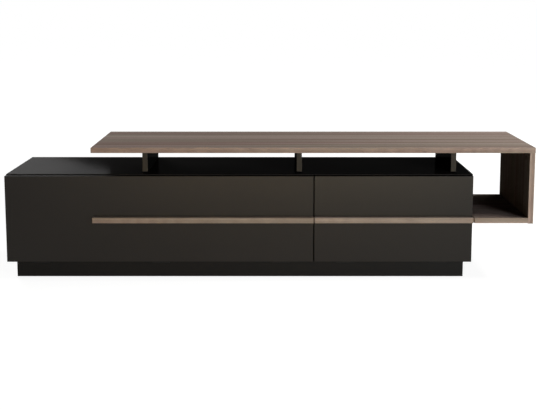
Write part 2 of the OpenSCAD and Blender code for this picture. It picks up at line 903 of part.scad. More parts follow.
// Guide that swivels on the plate's stud, with the rod passing over the stud's head
module stay_guide(stay) {
    color(dark_edge)
        at_stay(stay)
            translate([0, guide_pivot.x, guide_pivot.y])
                difference() {
                    union() {
                        rod_along_x(guide_x0, guide_x1, guide_d / 2);
                        rod_along_x(guide_x1 - eps, guide_x1 + brake_h, brake_r);
                    }
                    rod_along_x(guide_x0 - 1, flange_x1 + 1, stud_r + running_clear);
                    rod_along_x(flange_x1, guide_pocket_x1, stud_head_r + gap);
                    translate([rod_x, 0, 0])
                        rotate([rod_slope - 90, 0, 0])
                            translate([0, 0, -guide_d])
                                cylinder(h = 2 * guide_d, r = rod_d / 2 + running_clear);
                    translate([guide_x1 + brake_h / 2, -brake_r - 1, -slot_w])
                        cube([brake_h, 2 * brake_r + 2, 2 * slot_w]);
                }
}

// Rod with the eye that turns on the flap's stud and the stop that ends its travel
module stay_rod(stay) {
    color(steel)
        at_stay(stay)
            translate([rod_x, flap_pivot.x, flap_pivot.y])
                difference() {
                    union() {
                        rod_along_x(-eye_t / 2, eye_t / 2, eye_r);
                        rotate([rod_slope - 90, 0, 0]) {
                            translate([-eye_t / 2, -rod_d / 2, 0]) cube([eye_t, rod_d, eye_r + eye_neck]);
                            translate([0, 0, rod_start]) cylinder(h = rod_l - rod_start, d = rod_d);
                            translate([0, 0, stop_start])
                                cylinder(h = stop_l, r = stop_r, $fn = 6);
                        }
                    }
                    rod_along_x(-eye_t, eye_t, stud_r + running_clear);
                }
}

// Bracket on the flap's back with the stud for the rod's eye
module stay_bracket(stay) {
    at_stay(stay)
        difference() {
            union() {
                block(
                    [plate_t, -door_gap / 2, flap_pivot.y - bracket_l / 2],
                    [plate_t + bracket_w, plate_t - door_gap / 2, flap_pivot.y + bracket_l / 2]
                );
                block(
                    [ear_x1 - ear_t, -door_gap / 2, flap_pivot.y - eye_r],
                    [ear_x1, flap_pivot.x, flap_pivot.y + eye_r]
                );
                translate([0, flap_pivot.x, flap_pivot.y]) {
                    rod_along_x(ear_x1 - ear_t, ear_x1, eye_r);
                    rod_along_x(ear_x1 - 1, rod_x + eye_t / 2 + gap + eps, stud_r);
                    rod_along_x(
                        rod_x + eye_t / 2 + gap, rod_x + eye_t / 2 + gap + stud_head_t, stud_head_r
                    );
                }
            }
            bracket_screws_at() small_screw_hole(small_l);
        }
}

module left_stay_brackets() {
    color(steel) {
        stay_bracket(left_outer_stay);
        stay_bracket(left_inner_stay);
    }
}

module right_stay_bracket() {
    color(steel) stay_bracket(right_stay);
}

module left_outer_stay_guide() {
    stay_guide(left_outer_stay);
}

module left_outer_stay_rod() {
    stay_rod(left_outer_stay);
}

module left_inner_stay_guide() {
    stay_guide(left_inner_stay);
}

module left_inner_stay_rod() {
    stay_rod(left_inner_stay);
}

module right_stay_guide() {
    stay_guide(right_stay);
}

module right_stay_rod() {
    stay_rod(right_stay);
}

// Catches, strike plates and buffers

module catch_housings() {
    color(dark_edge)
        difference() {
            for (x = concat(left_catch_x, right_catch_x))
                block([x - catch_w / 2, catch_y0, catch_z0], [x + catch_w / 2, catch_y0 + catch_d, top_z0]);
            catch_poles(fixed_clear);
            set_at(catch_screws) small_screw_hole(small_l);
            set_at(catch_screws)
                translate([0, 0, -catch_h]) cylinder(h = catch_h, r = small_head_r + catch_head_room);
        }
}

// The magnet and its two poles, which stand a little out of the housing
module catch_poles(c) {
    for (x = concat(left_catch_x, right_catch_x))
        block(
            [x - catch_w / 2 + pole_inset - c, catch_y0 - pole_proud, catch_z - pole_h / 2 - c],
            [x + catch_w / 2 - pole_inset + c, catch_y0 + catch_d / 2 + c, catch_z + pole_h / 2 + c]
        );
}

module catch_magnets() {
    color(steel)
        difference() {
            catch_poles(0);
            for (x = concat(left_catch_x, right_catch_x))
                block(
                    [x - catch_w / 2, catch_y0 - 1, catch_z - pole_h / 2 + pole_t],
                    [x + catch_w / 2, catch_y0 + magnet_sink, catch_z + pole_h / 2 - pole_t]
                );
        }
}

module strike_plates(xs, screws) {
    color(steel)
        difference() {
            for (x = xs)
                block(
                    [x - strike_w / 2, door_back_y, catch_z - strike_h / 2],
                    [x + strike_w / 2, door_back_y + strike_t, catch_z + strike_h / 2]
                );
            set_at(screws) small_screw_hole(small_l);
        }
}

module left_strike_plates() {
    strike_plates(left_catch_x, left_strike_screws);
}

module right_strike_plate() {
    strike_plates(right_catch_x, right_strike_screws);
}

module buffers(xs) {
    color(clear_plastic)
        for (x = xs)
            translate([x, door_back_y, buffer_z]) rotate(TO_BACK) cylinder(h = buffer_t, d = buffer_d);
}

module left_buffers() {
    buffers(left_buffer_x);
}

module right_buffers() {
    buffers(right_buffer_x);
}

// Flaps and rails

module door(x0, x1, screws, rail_screws) {
    color(dark)
        difference() {
            board([x0, door_front_y, door_z0], [x1, door_back_y, door_z1]);
            set_at(screws) small_screw_hole(small_l);
            set_at(rail_screws) small_screw_hole(rail_screw_l);
            for (stay = stays)
                at_stay(stay) bracket_screws_at() small_screw_hole(small_l);
        }
}

module rail(x0, x1, rail_screws) {
    color(walnut)
        difference() {
            board([x0, front_y, rail_z0], [x1, door_front_y, rail_z0 + rail_h]);
            set_at(rail_screws) small_screw_hole(rail_screw_l);
        }
}

module left_door() {
    door(left_x, left_door_x1, concat(left_hinge_screws, left_strike_screws), left_rail_screw_places);
}

module right_door() {
    door(
        right_door_x0, right_door_x1, concat(right_hinge_screws, right_strike_screws),
        right_rail_screw_places
    );
}

module left_rail() {
    rail(left_rail_x0, left_door_x1, left_rail_screw_places);
}

module right_rail() {
    rail(right_door_x0, right_door_x1, right_rail_screw_places);
}

module left_door_screws() {
    color(steel) {
        set_at(concat(left_hinge_screws, left_strike_screws)) small_screw(small_l);
        for (stay = [left_outer_stay, left_inner_stay])
            at_stay(stay) bracket_screws_at() small_screw(small_l);
    }
}

module right_door_screws() {
    color(steel) {
        set_at(concat(right_hinge_screws, right_strike_screws)) small_screw(small_l);
        at_stay(right_stay) bracket_screws_at() small_screw(small_l);
    }
}

module left_rail_screws() {
    color(steel) set_at(left_rail_screw_places) small_screw(rail_screw_l);
}

module right_rail_screws() {
    color(steel) set_at(right_rail_screw_places) small_screw(rail_screw_l);
}

top_panel();
bottom_panel();
left_side();
partition();
right_side();
left_back_panel();
right_back_panel();
plinth_front();
plinth_back();
plinth_left();
plinth_right();
plinth_braces();
shelf_board();
cubby_side();
cubby_bottom();
left_spacer();
middle_spacer();
right_spacer();
dowels();
cam_locks();
cam_bolts();
cam_covers();
spacer_screws();
cubby_screws();
plinth_screws();
hinge_body_leaves();
hinge_pins();
stay_plates();
catch_housings();
catch_magnets();
body_screws();
left_door();
left_rail();
left_hinge_leaves();
left_stay_brackets();
left_strike_plates();
left_buffers();
left_door_screws();
left_rail_screws();
right_door();
right_rail();
right_hinge_leaves();
right_stay_bracket();
right_strike_plate();
right_buffers();
right_door_screws();
right_rail_screws();
left_outer_stay_guide();
left_outer_stay_rod();
left_inner_stay_guide();
left_inner_stay_rod();
right_stay_guide();
right_stay_rod();
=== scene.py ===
import math

import bpy
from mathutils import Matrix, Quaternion, Vector


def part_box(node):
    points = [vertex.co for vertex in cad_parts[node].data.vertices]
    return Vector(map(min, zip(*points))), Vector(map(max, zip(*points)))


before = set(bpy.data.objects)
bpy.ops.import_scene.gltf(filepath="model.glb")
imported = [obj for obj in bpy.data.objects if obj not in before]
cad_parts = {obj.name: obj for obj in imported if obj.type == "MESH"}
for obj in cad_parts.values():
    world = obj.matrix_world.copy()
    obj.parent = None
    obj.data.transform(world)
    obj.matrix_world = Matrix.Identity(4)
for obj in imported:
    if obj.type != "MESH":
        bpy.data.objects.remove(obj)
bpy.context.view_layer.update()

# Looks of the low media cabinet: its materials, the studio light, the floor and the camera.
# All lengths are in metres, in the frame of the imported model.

MM = 0.001
AXES = "xyz"
WHITE = (1.0, 1.0, 1.0)

# Camera: the photograph's view from above. Pitch and shift share it: the verticals lean a
# little, and the shift stays small enough for the views from other sides.
CAMERA_PLACE = (0.01083, -2.88178, 0.94932)
CAMERA_PITCH = math.radians(6.263)
LENS_MM = 54.646
SENSOR_MM = 36.0
SHIFT_X = -0.00623
SHIFT_Y = -0.21

# Board surfaces: the decor ends at the edge band, and what lies deeper is the bare core,
# which is whole at CORE_FADE times the skin's thickness
BAND_T = 0.8 * MM
BAND_FADE_START = BAND_T * 0.98
BAND_FADE_END = BAND_T * 1.02
CORE_FADE = 1.15
SEAM_HALF_W = 0.07 * MM
RUBBED_W = 1.6 * MM
BACK_SKIN_T = 0.2 * MM


class Shader:
    """One material being made. Most methods add a node and return its output."""

    def __init__(self, name):
        self.material = bpy.data.materials.new(name)
        self.material.use_nodes = True
        self.tree = self.material.node_tree
        self.tree.nodes.clear()
        self.place = self.add("ShaderNodeTexCoord").outputs["Object"]

    def add(self, kind, inputs=None, **settings):
        """A node with its settings and inputs. It returns the node itself."""
        node = self.tree.nodes.new(kind)
        for name, value in settings.items():
            setattr(node, name, value)
        for name, value in (inputs or {}).items():
            self.put(node.inputs[name], value)
        return node

    def put(self, socket, value):
        """Links an output to a socket, or sets a constant on it."""
        if isinstance(value, bpy.types.NodeSocket):
            self.tree.links.new(value, socket)
        else:
            socket.default_value = value

    def math(self, operation, *values):
        inputs = dict(enumerate(values))
        return self.add("ShaderNodeMath", inputs, operation=operation).outputs[0]

    def vector(self, operation, *values):
        inputs = dict(enumerate(values))
        return self.add("ShaderNodeVectorMath", inputs, operation=operation).outputs[0]

    def split(self, vector):
        return self.add("ShaderNodeSeparateXYZ", {0: vector}).outputs

    def join(self, x, y, z):
        return self.add("ShaderNodeCombineXYZ", {0: x, 1: y, 2: z}).outputs[0]

    def step(self, value, low, high, to_low=0.0, to_high=1.0):
        """Smooth change from to_low to to_high, while value goes from low to high."""
        inputs = {0: value, 1: low, 2: high, 3: to_low, 4: to_high}
        node = self.add("ShaderNodeMapRange", inputs, interpolation_type="SMOOTHSTEP")
        return node.outputs[0]

    def scale(self, value, low, high):
        """Straight change of a value from 0..1 to low..high."""
        return self.add("ShaderNodeMapRange", {0: value, 3: low, 4: high}).outputs[0]

    def noise(self, vector, waves, detail=2.0, roughness=0.5, distortion=0.0):
        """Noise from 0 to 1 with so many waves a metre, or so many along each axis."""
        if isinstance(waves, tuple):
            vector = self.vector("MULTIPLY", vector, waves)
            waves = 1.0
        inputs = {
            "Vector": vector, "Scale": waves, "Detail": detail,
            "Roughness": roughness, "Distortion": distortion,
        }
        return self.add("ShaderNodeTexNoise", inputs).outputs[0]

    def mix(self, factor, first, second):
        node = self.add("ShaderNodeMix", data_type="RGBA")
        self.put(node.inputs[0], factor)
        self.put(node.inputs[6], first)
        self.put(node.inputs[7], second)
        return node.outputs[2]

    def mix_points(self, factor, first, second):
        node = self.add("ShaderNodeMix", data_type="VECTOR")
        self.put(node.inputs[0], factor)
        self.put(node.inputs[4], first)
        self.put(node.inputs[5], second)
        return node.outputs[1]

    def lighten(self, colour, factor):
        """Colour times a grey factor."""
        inputs = {"Vector": colour, "Scale": factor}
        return self.add("ShaderNodeVectorMath", inputs, operation="SCALE").outputs[0]

    def ramp(self, value, stops):
        node = self.add("ShaderNodeValToRGB", {0: value})
        elements = node.color_ramp.elements
        while len(elements) < len(stops):
            elements.new(0.5)
        for element, (place, colour) in zip(elements, stops):
            element.position = place
            element.color = rgba(colour)
        return node.outputs[0]

    def bump(self, height, depth, below=None):
        """Surface detail: height from 0 to 1 becomes depth metres."""
        inputs = {"Height": height, "Distance": depth, "Strength": 1.0}
        if below is not None:
            inputs["Normal"] = below
        return self.add("ShaderNodeBump", inputs).outputs[0]

    def finish(self, colour, roughness, normal, **constants):
        """Ends in one surface shader and returns the material. The constants are set on the
        shader's own sockets."""
        shader = self.add("ShaderNodeBsdfPrincipled")
        self.put(shader.inputs["Base Color"], colour)
        self.put(shader.inputs["Roughness"], roughness)
        self.put(shader.inputs["Normal"], normal)
        for name, value in constants.items():
            shader.inputs[name.replace("_", " ")].default_value = value
        self.surface = shader
        self.output(shader)
        return self.material

    def output(self, shader):
        output = self.add("ShaderNodeOutputMaterial")
        self.tree.links.new(shader.outputs[0], output.inputs["Surface"])


def rgba(colour):
    return (*colour, 1.0)


# In the functions below, s is the Shader being made


def smaller(s, a, b):
    return s.math("MINIMUM", a, b)


def larger(s, a, b):
    return s.math("MAXIMUM", a, b)


def within_band(s, depth):
    """1 where a point is no deeper than the edge band, and 0 beyond it."""
    return s.step(depth, BAND_FADE_START, BAND_FADE_END, 1.0, 0.0)


def board_masks(s, node, thickness_axis, skin=BAND_T):
    """Where a point lies on a board: (core, band, seam, rim) masks from 0 to 1.

    core is inside a hole or groove, band is the strip that closes the board's edges, seam is
    the fine joint where the band meets the broad face, and rim grows towards the edges."""
    low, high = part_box(node)
    from_low = s.vector("SUBTRACT", s.place, tuple(low))
    from_high = s.vector("SUBTRACT", tuple(high), s.place)
    depths = list(s.split(s.vector("MINIMUM", from_low, from_high)))
    across = depths.pop(AXES.index(thickness_axis))
    to_edge = smaller(s, *depths)
    core = s.step(smaller(s, across, to_edge), skin, skin * CORE_FADE)
    from_seam = s.math("ABSOLUTE", s.math("SUBTRACT", to_edge, BAND_T))
    seam = s.step(from_seam, SEAM_HALF_W, 2 * SEAM_HALF_W, 1.0, 0.0)
    rim = s.step(larger(s, across, to_edge), 0.0, RUBBED_W, 1.0, 0.0)
    return core, within_band(s, to_edge), seam, rim


CHIPBOARD_STOPS = [
    (0.3, (0.16, 0.10, 0.05)),
    (0.5, (0.36, 0.25, 0.14)),
    (0.7, (0.52, 0.40, 0.25)),
]


def chipboard(s):
    """Bare core of a board: pale flakes with darker glue between them."""
    flakes = s.noise(s.place, 420.0, detail=3.0, roughness=0.7, distortion=0.8)
    return s.ramp(flakes, CHIPBOARD_STOPS)


# How far a seed shifts a board's patterns, so that no two boards look the same
GRAIN_SHIFT = (3.7, 1.9, 0.73)
LAMINATE_SHIFT = (2.3, 1.1, 0.57)


def shifted(s, point, seed, shift):
    return s.vector("ADD", point, tuple(seed * length for length in shift))


def grain_space(s, node, along_axis, thickness_axis, seed):
    """The point with X along the grain, Y across it and Z into the board, shifted by seed.
    On the two end faces the band's grain runs along the band."""
    low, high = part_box(node)
    index = AXES.index(along_axis)
    parts = s.split(s.place)
    wide_axis = next(axis for axis in AXES if axis not in (along_axis, thickness_axis))
    along = parts[index]
    across = parts[AXES.index(wide_axis)]
    deep = parts[AXES.index(thickness_axis)]
    from_low = s.math("SUBTRACT", along, low[index])
    from_high = s.math("SUBTRACT", high[index], along)
    at_end = within_band(s, smaller(s, from_low, from_high))
    straight = s.join(along, across, deep)
    turned = s.join(across, deep, along)
    return shifted(s, s.mix_points(at_end, straight, turned), seed, GRAIN_SHIFT)


# Walnut decor, from the darkest streak to the palest
WALNUT_STOPS = [
    (0.28, (0.088, 0.064, 0.053)),
    (0.43, (0.158, 0.121, 0.106)),
    (0.57, (0.218, 0.173, 0.157)),
    (0.74, (0.310, 0.255, 0.236)),
]
WALNUT_RED = (1.03, 0.975, 0.985)
WALNUT_OLIVE = (0.965, 1.025, 0.98)
WALNUT_BAND_TINT = (1.055, 1.01, 0.93)
WALNUT_RUBBED = (0.52, 0.42, 0.33)

# Layers of the walnut's grain: waves a metre along and across it, then detail, roughness and
# distortion where they aren't the usual ones. The drifted ones follow the grain's slow drift.
DRIFTED_LAYERS = {
    "broad": (0.5, 13.0, 2.0),
    "bands": (0.4, 44.0, 2.0),
    "streaks": (0.6, 110.0, 4.0, 0.6, 0.3),
    "fine": (9.0, 420.0, 3.0, 0.6),
    "hue": (1.0, 38.0, 3.0),
}
DRIFT_LAYER = (0.7, 5.0, 2.0)
DRIFT_REACH = 0.008
FIBRE_LAYER = (30.0, 1600.0, 2.0)
PORE_LAYER = (95.0, 2300.0, 1.0)

# How much each layer adds to the walnut's tone
TONE_SHARES = {
    "streaks": 0.39, "broad": 0.05, "bands": 0.48, "fine": 0.06, "fibres": 0.04, "rings": 0.022,
}

# Growth rings: waves a metre of the heart's wandering and how far it goes to each side, the
# square of the least radius, the rings in radians a metre, and how the broad layer bends them
HEART_WAVES = 1.3
HEART_REACH = 0.16
LEAST_RADIUS_SQUARED = 0.004
RING_RATE = 520.0
RING_BEND = 9.0


def grain_noise(s, grain, along, across, *details):
    return s.noise(grain, (along, across, across), *details)


def growth_rings(s, grain, broad):
    """Rings round a heart that wanders beside the board give the long arches."""
    parts = s.split(grain)
    heart = s.noise(s.join(parts[0], 0.0, 0.0), HEART_WAVES, detail=1.0)
    off_heart = s.math("SUBTRACT", parts[1], s.scale(heart, -HEART_REACH, HEART_REACH))
    squared = s.math("MULTIPLY", off_heart, off_heart)
    radius = s.math("SQRT", s.math("ADD", squared, LEAST_RADIUS_SQUARED))
    bend = s.math("MULTIPLY", broad, RING_BEND)
    return s.math("SINE", s.math("MULTIPLY_ADD", radius, RING_RATE, bend))


def walnut_layers(s, grain):
    """The layers of the walnut's grain by name, each from 0 to 1, and the rings from -1 to 1.
    The pores are short dark dashes that follow the grain."""
    drift = grain_noise(s, grain, *DRIFT_LAYER)
    sideways = s.join(0.0, s.scale(drift, -DRIFT_REACH, DRIFT_REACH), 0.0)
    drifted = s.vector("ADD", grain, sideways)
    layers = {name: grain_noise(s, drifted, *waves) for name, waves in DRIFTED_LAYERS.items()}
    layers["fibres"] = grain_noise(s, grain, *FIBRE_LAYER)
    layers["pores"] = s.step(grain_noise(s, grain, *PORE_LAYER), 0.60, 0.70)
    layers["rings"] = growth_rings(s, drifted, layers["broad"])
    return layers


def walnut_decor(s, layers, shade):
    """Colour of the printed decor with its pores. shade is how pale the board is."""
    tone = 0.0
    for name, share in TONE_SHARES.items():
        tone = s.math("MULTIPLY_ADD", layers[name], share, tone)
    decor = s.lighten(s.ramp(tone, WALNUT_STOPS), shade)
    olive = s.step(layers["hue"], 0.35, 0.65)
    decor = s.vector("MULTIPLY", decor, s.mix(olive, rgba(WALNUT_RED), rgba(WALNUT_OLIVE)))
    return s.lighten(decor, s.scale(layers["pores"], 1.0, 0.66))


def walnut(node, along_axis, thickness_axis, seed, shade):
    """Grey-brown walnut board: long soft streaks, growth rings, fibres and open pores, with
    edge bands, their fine joints and faintly rubbed edges."""
    s = Shader("walnut_" + node)
    core, band, seam, rim = board_masks(s, node, thickness_axis)
    layers = walnut_layers(s, grain_space(s, node, along_axis, thickness_axis, seed))

    decor = walnut_decor(s, layers, shade)
    decor = s.mix(band, decor, s.vector("MULTIPLY", decor, WALNUT_BAND_TINT))
    decor = s.lighten(decor, s.scale(seam, 1.0, 0.62))
    decor = s.mix(s.math("MULTIPLY", rim, 0.14), decor, rgba(WALNUT_RUBBED))
    colour = s.mix(core, decor, chipboard(s))

    height = s.math("SUBTRACT", s.math("MULTIPLY", layers["fine"], 0.5), layers["pores"])
    relief = s.bump(s.math("SUBTRACT", height, seam), 0.06 * MM)
    rough_pores = s.math("MULTIPLY", layers["pores"], 0.15)
    roughness = s.math("ADD", s.scale(layers["streaks"], 0.42, 0.58), rough_pores)
    return s.finish(
        colour, roughness, relief,
        Specular_IOR_Level=0.0, Coat_Weight=0.003, Coat_Roughness=0.5,
    )


# The share of a laminate's satin coat that its edge bands and its core have
BARE_COAT_SHARE = 0.08


def laminate(name, node, thickness_axis, seed, colours, coat):
    """Matt dark laminate with a pearled surface, faint clouding and rubbed edges.
    colours are those of the face and the edge band, and coat is the satin coat's roughness
    and weight."""
    s = Shader(name + "_" + node)
    core, band, seam, rim = board_masks(s, node, thickness_axis)
    face_colour, band_colour = colours
    coat_roughness, coat_weight = coat
    place = shifted(s, s.place, seed, LAMINATE_SHIFT)

    clouds = s.noise(place, 2.4, detail=3.0)
    mottle = s.noise(place, 34.0, detail=3.0, roughness=0.6)
    pearl = s.noise(place, 1500.0, detail=2.0)
    scuffs = s.step(s.noise(place, 160.0, detail=3.0, roughness=0.7), 0.52, 0.62)

    tone = s.scale(clouds, 0.92, 1.08)
    tone = s.math("MULTIPLY", tone, s.scale(mottle, 0.96, 1.04))
    tone = s.math("MULTIPLY", tone, s.scale(pearl, 0.93, 1.07))
    decor = s.lighten(s.mix(band, rgba(face_colour), rgba(band_colour)), tone)
    decor = s.lighten(decor, s.scale(seam, 1.0, 0.45))
    decor = s.lighten(decor, s.scale(s.math("MULTIPLY", rim, scuffs), 1.0, 1.7))
    colour = s.mix(core, decor, chipboard(s))

    pearls = s.bump(pearl, 0.012 * MM)
    peel = s.bump(s.noise(place, 210.0, detail=1.0), 0.02 * MM, below=pearls)
    joint = s.bump(seam, -0.05 * MM, below=peel)
    clouded_weight = s.scale(clouds, coat_weight * 0.92, coat_weight * 1.08)
    coated = s.scale(larger(s, band, core), 1.0, BARE_COAT_SHARE)
    material = s.finish(
        colour, s.scale(mottle, 0.55, 0.7), joint,
        Specular_IOR_Level=0.0, Coat_Roughness=coat_roughness,
    )
    s.put(s.surface.inputs["Coat Weight"], s.math("MULTIPLY", clouded_weight, coated))
    s.put(s.surface.inputs["Coat Normal"], joint)
    return material


BACK_COATING = (0.020, 0.018, 0.016)
HARDBOARD_STOPS = [
    (0.3, (0.050, 0.030, 0.017)),
    (0.7, (0.115, 0.072, 0.042)),
]

# The mesh print on the back: its cells a metre, and the part of a cell that its wires take
MESH_CELLS = (420.0, 1.0, 420.0)
MESH_WIRE = 0.35


def hardboard(node):
    """Thin back panel: a dark coated face inside, bare pressed fibre with a mesh print behind."""
    s = Shader("hardboard_" + node)
    core = board_masks(s, node, "y", BACK_SKIN_T)[0]
    low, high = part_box(node)
    middle = (low.y + high.y) / 2
    behind = s.step(s.split(s.place)[1], middle, middle + 0.1 * MM)
    fibres = s.noise(s.place, 700.0, detail=4.0, roughness=0.7, distortion=0.6)
    clouds = s.noise(s.place, 5.0, detail=3.0)
    bare = s.lighten(s.ramp(fibres, HARDBOARD_STOPS), s.scale(clouds, 0.85, 1.15))
    coated = s.lighten(BACK_COATING, s.scale(fibres, 0.9, 1.1))
    colour = s.mix(larger(s, behind, core), coated, bare)
    cells = s.split(s.vector("FRACTION", s.vector("MULTIPLY", s.place, MESH_CELLS)))
    wires = [s.step(cells[axis], 0.0, MESH_WIRE) for axis in (0, 2)]
    waffle = s.math("MULTIPLY", *wires)
    height = s.math("MULTIPLY", s.math("MULTIPLY_ADD", waffle, 0.7, fibres), behind)
    relief = s.bump(height, 0.08 * MM)
    return s.finish(colour, s.scale(fibres, 0.62, 0.8), relief, Specular_IOR_Level=0.2)


# Waves a metre of the brushed lines, across and along the brushing
BRUSHED_ACROSS = 1800.0
BRUSHED_ALONG = 60.0


def steel(name, colour, roughness, brushed_along):
    """Plated steel: fine rolling lines, faint stains and small scratches."""
    s = Shader(name)
    brushing = tuple(BRUSHED_ALONG if axis == brushed_along else BRUSHED_ACROSS for axis in AXES)
    lines = s.noise(s.place, brushing, detail=3.0, roughness=0.6)
    stains = s.noise(s.place, 90.0, detail=3.0, roughness=0.6, distortion=0.4)
    scratches = s.step(s.noise(s.place, (2600.0, 300.0, 900.0), detail=1.0), 0.68, 0.74)
    plated = s.lighten(colour, s.scale(stains, 0.86, 1.1))
    plated = s.lighten(plated, s.scale(lines, 0.94, 1.05))
    stained = s.scale(stains, roughness - 0.08, roughness + 0.1)
    rough = s.math("ADD", stained, s.math("MULTIPLY", scratches, 0.12))
    height = s.math("SUBTRACT", lines, s.math("MULTIPLY", scratches, 0.6))
    return s.finish(plated, rough, s.bump(height, 0.012 * MM), Metallic=1.0)


BLACK_COATING = (0.005, 0.005, 0.005)
WORN_STEEL = (0.05, 0.05, 0.05)


def black_steel():
    """Black-coated steel with a fine orange peel, worn to grey metal in small spots."""
    s = Shader("black_coated_steel")
    peel = s.noise(s.place, 1200.0, detail=2.0)
    clouds = s.noise(s.place, 150.0, detail=3.0)
    worn = s.step(s.noise(s.place, 700.0, detail=4.0, roughness=0.7), 0.62, 0.72)
    coating = s.lighten(BLACK_COATING, s.scale(clouds, 0.8, 1.25))
    colour = s.mix(s.math("MULTIPLY", worn, 0.3), coating, rgba(WORN_STEEL))
    rough = s.math("SUBTRACT", s.scale(clouds, 0.52, 0.65), s.math("MULTIPLY", worn, 0.12))
    return s.finish(colour, rough, s.bump(peel, 0.015 * MM), Specular_IOR_Level=0.08)


CAST_ZINC = (0.50, 0.51, 0.53)


def zinc():
    """Die-cast zinc with a dull grain."""
    s = Shader("die_cast_zinc")
    grain = s.noise(s.place, 1300.0, detail=3.0, roughness=0.65)
    clouds = s.noise(s.place, 120.0, detail=2.0)
    colour = s.lighten(CAST_ZINC, s.scale(clouds, 0.82, 1.12))
    relief = s.bump(s.math("ADD", grain, clouds), 0.03 * MM)
    return s.finish(colour, s.scale(grain, 0.4, 0.58), relief, Metallic=1.0)


POLE_STEEL = (0.55, 0.54, 0.52)
FERRITE = (0.035, 0.034, 0.034)

# Depths below a pole's outer face, between which the plate gives way to the ferrite
PLATE_ENDS = 1.5 * MM
FERRITE_STARTS = 1.6 * MM


def magnet_and_poles():
    """Bright pole plates with the black ferrite magnet between them."""
    s = Shader("magnet_and_poles")
    low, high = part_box("catch_magnets")
    half = (high.z - low.z) / 2
    off_middle = s.math("ABSOLUTE", s.math("SUBTRACT", s.split(s.place)[2], low.z + half))
    ferrite = s.step(off_middle, half - FERRITE_STARTS, half - PLATE_ENDS, 1.0, 0.0)
    grain = s.noise(s.place, 900.0, detail=3.0, roughness=0.6)
    bright = s.lighten(POLE_STEEL, s.scale(grain, 0.9, 1.06))
    dull = s.lighten(FERRITE, s.scale(grain, 0.7, 1.3))
    colour = s.mix(ferrite, bright, dull)
    return s.finish(colour, s.scale(ferrite, 0.3, 0.6), s.bump(grain, 0.01 * MM), Metallic=0.7)


def plastic(name, colour, roughness, grain_depth, **constants):
    """Moulded plastic with a fine eroded texture and slight flow marks."""
    s = Shader(name)
    texture = s.noise(s.place, 1900.0, detail=2.0, roughness=0.6)
    flow = s.noise(s.place, (40.0, 120.0, 120.0), detail=3.0)
    moulded = s.lighten(colour, s.scale(flow, 0.9, 1.12))
    rough = s.scale(flow, roughness - 0.06, roughness + 0.06)
    return s.finish(moulded, rough, s.bump(texture, grain_depth), **constants)


BEECH_STOPS = [
    (0.3, (0.50, 0.33, 0.18)),
    (0.7, (0.66, 0.47, 0.28)),
]


def beech():
    """Raw beech with short dark flecks and pressed flutes."""
    s = Shader("raw_beech")
    flecks = s.step(s.noise(s.place, (900.0, 900.0, 260.0), detail=2.0), 0.55, 0.68)
    tone = s.noise(s.place, 60.0, detail=3.0)
    colour = s.lighten(s.ramp(tone, BEECH_STOPS), s.scale(flecks, 1.0, 0.7))
    flutes = s.noise(s.place, (1100.0, 1100.0, 20.0), detail=1.0)
    relief = s.bump(flutes, 0.1 * MM)
    return s.finish(colour, s.scale(tone, 0.55, 0.7), relief, Specular_IOR_Level=0.3)


def dress(material, *nodes):
    """Puts a material on carried-over nodes."""
    for node in nodes:
        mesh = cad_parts[node].data
        mesh.materials.clear()
        mesh.materials.append(material)


# Walnut boards: the axes of the grain and of the thickness, the seed of the grain, and how
# pale the board is among the others
WALNUT_BOARDS = {
    "shelf_board": ("x", "z", 16.0, 1.02),
    "cubby_side": ("z", "x", 7.0, 1.0),
    "cubby_bottom": ("x", "z", 8.0, 1.03),
    "left_rail": ("x", "z", 29.0, 0.91),
    "right_rail": ("x", "z", 20.0, 0.98),
}

# Colours of the laminates: the face and the edge band
FLAP = ((0.0068, 0.0057, 0.0048), (0.004, 0.0035, 0.003))
BODY = ((0.0150, 0.0137, 0.0128), (0.0115, 0.0105, 0.0100))
# The spacers are the body laminate with painted shade: their faces are far darker than BODY's,
# for the shade under the shelf. Their edge band is a brown band that is paler than any other
# band, partly as painted light on their lit fronts.
SPACER_PAINTED_SHADE_AND_LIGHT = ((0.0018, 0.0019, 0.0018), (0.0345, 0.0305, 0.0255))
PLINTH = ((0.0036, 0.0036, 0.0036), (0.0036, 0.0036, 0.0036))

# Satin coats of the laminates: roughness and weight
FLAP_COAT = (0.28, 0.31)
BODY_COAT = (0.09, 0.008)
PLINTH_COAT = (0.45, 0.14)
BRACE_COAT = (0.5, 0.10)

# Laminate boards: the material's name, its colours and coat, the first board's seed, and the
# thickness axis of each board
LAMINATE_BOARDS = [
    ("flap_laminate", FLAP, FLAP_COAT, 0, {
        "left_door": "y", "right_door": "y",
    }),
    ("body_laminate", BODY, BODY_COAT, 10, {
        "top_panel": "z", "bottom_panel": "z", "left_side": "x", "partition": "x",
        "right_side": "x",
    }),
    # The spacers: body laminate with painted shade on their faces and painted light on their
    # front bands
    ("body_laminate", SPACER_PAINTED_SHADE_AND_LIGHT, BODY_COAT, 15, {
        "left_spacer": "x", "middle_spacer": "x", "right_spacer": "x",
    }),
    ("plinth_laminate", PLINTH, PLINTH_COAT, 30, {
        "plinth_front": "y", "plinth_back": "y", "plinth_left": "x", "plinth_right": "x",
    }),
]
BRACE_SEED = 36


def dress_boards():
    for node, look in WALNUT_BOARDS.items():
        dress(walnut(node, *look), node)
    for name, colours, coat, first_seed, boards in LAMINATE_BOARDS:
        for seed, (node, thickness_axis) in enumerate(boards.items(), first_seed):
            dress(laminate(name, node, thickness_axis, seed, colours, coat), node)
    # Both braces are one node. They are as high and as deep as the left plinth board and lie
    # beside it, so its box gives them their edge bands, and no core.
    braces = laminate("brace_laminate", "plinth_left", "x", BRACE_SEED, PLINTH, BRACE_COAT)
    dress(braces, "plinth_braces")
    for node in ("left_back_panel", "right_back_panel"):
        dress(hardboard(node), node)


